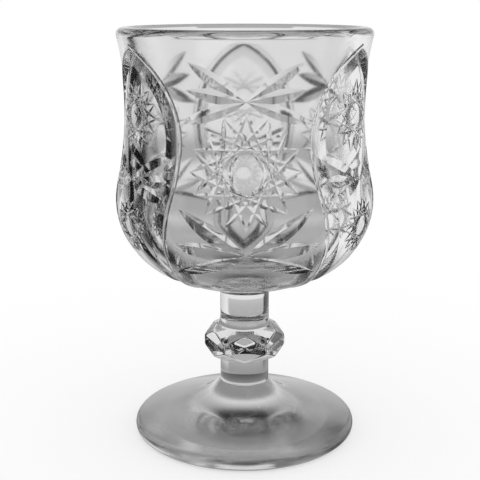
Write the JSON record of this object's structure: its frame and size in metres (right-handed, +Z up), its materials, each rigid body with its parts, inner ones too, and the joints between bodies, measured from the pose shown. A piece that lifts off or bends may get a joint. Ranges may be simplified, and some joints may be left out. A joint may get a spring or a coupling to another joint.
{
  "type": "water goblet",
  "caption": "Clear pressed-glass water goblet: waisted bowl with mitre-cut stars, fans and pointed arch panels, short stem with a faceted knop, spread round foot.",
  "frame": {"origin": "centre of the foot's underside, on the surface that the goblet stands on", "axes": "+Z up along the stem to the lip, a star panel of the bowl faces -Y"},
  "size_m": [0.0872, 0.0867, 0.14],
  "materials": {
    "bowl_glass": "fire polished, mitre cut",
    "stem_glass": "fire polished",
    "foot_glass": "fire polished"
  },
  "bodies": {
    "root": {"bowl": "bowl_glass", "upper_stem": "stem_glass", "knop": "stem_glass", "lower_stem": "stem_glass", "foot": "foot_glass"}
  },
  "joints": []
}
